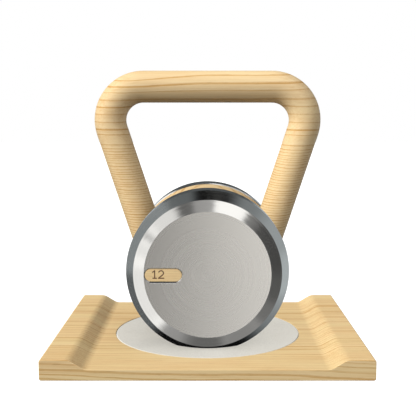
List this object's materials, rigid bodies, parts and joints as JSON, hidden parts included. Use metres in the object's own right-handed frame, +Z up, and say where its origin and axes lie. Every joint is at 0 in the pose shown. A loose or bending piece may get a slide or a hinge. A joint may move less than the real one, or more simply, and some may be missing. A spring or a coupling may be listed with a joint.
{
  "type": "kettlebell",
  "caption": "Kettlebell with a wooden trapezoid loop handle and a wooden core clamped between bevelled steel discs with flat feet, standing on a wooden tray with an inlaid leather pad.",
  "frame": {"origin": "on the floor, under the centre of the tray", "axes": "+X along the tray's long side and the grip, +Y from the badge side to the rear, along the discs' axis, +Z up"},
  "size_m": [0.284, 0.246, 0.2654],
  "materials": {
    "handle_wood": "oiled ash, satin",
    "core_wood": "oiled ash, satin",
    "badge_wood": "oiled ash, engraved",
    "tray_wood": "oiled ash, satin",
    "disc_steel": "turned and brushed stainless steel",
    "fixing_steel": "plain steel fixings",
    "insert_brass": "turned brass",
    "pad_leather": "matt pale leather",
    "underlay_cork": "pressed cork",
    "foot_rubber": "matt rubber"
  },
  "bodies": {
    "stand": {"tray": "tray_wood", "pad": "pad_leather", "pad_underlay": "underlay_cork", "foot_pads": "foot_rubber"},
    "kettlebell": {"core": "core_wood", "handle": "handle_wood", "front_disc": "disc_steel", "rear_disc": "disc_steel", "badge": "badge_wood", "clamp_bolt": "fixing_steel", "disc_spring": "fixing_steel", "clamp_washer": "fixing_steel", "rear_plug": "badge_wood", "dowel_pins": "fixing_steel", "arm_bolts": "fixing_steel", "arm_washers": "fixing_steel", "arm_inserts": "insert_brass"}
  },
  "joints": [
    {"name": "lift_off", "type": "slide", "parent": "stand", "child": "kettlebell", "axis": [0, 0, 1], "range_m": [0, 0.15]}
  ]
}
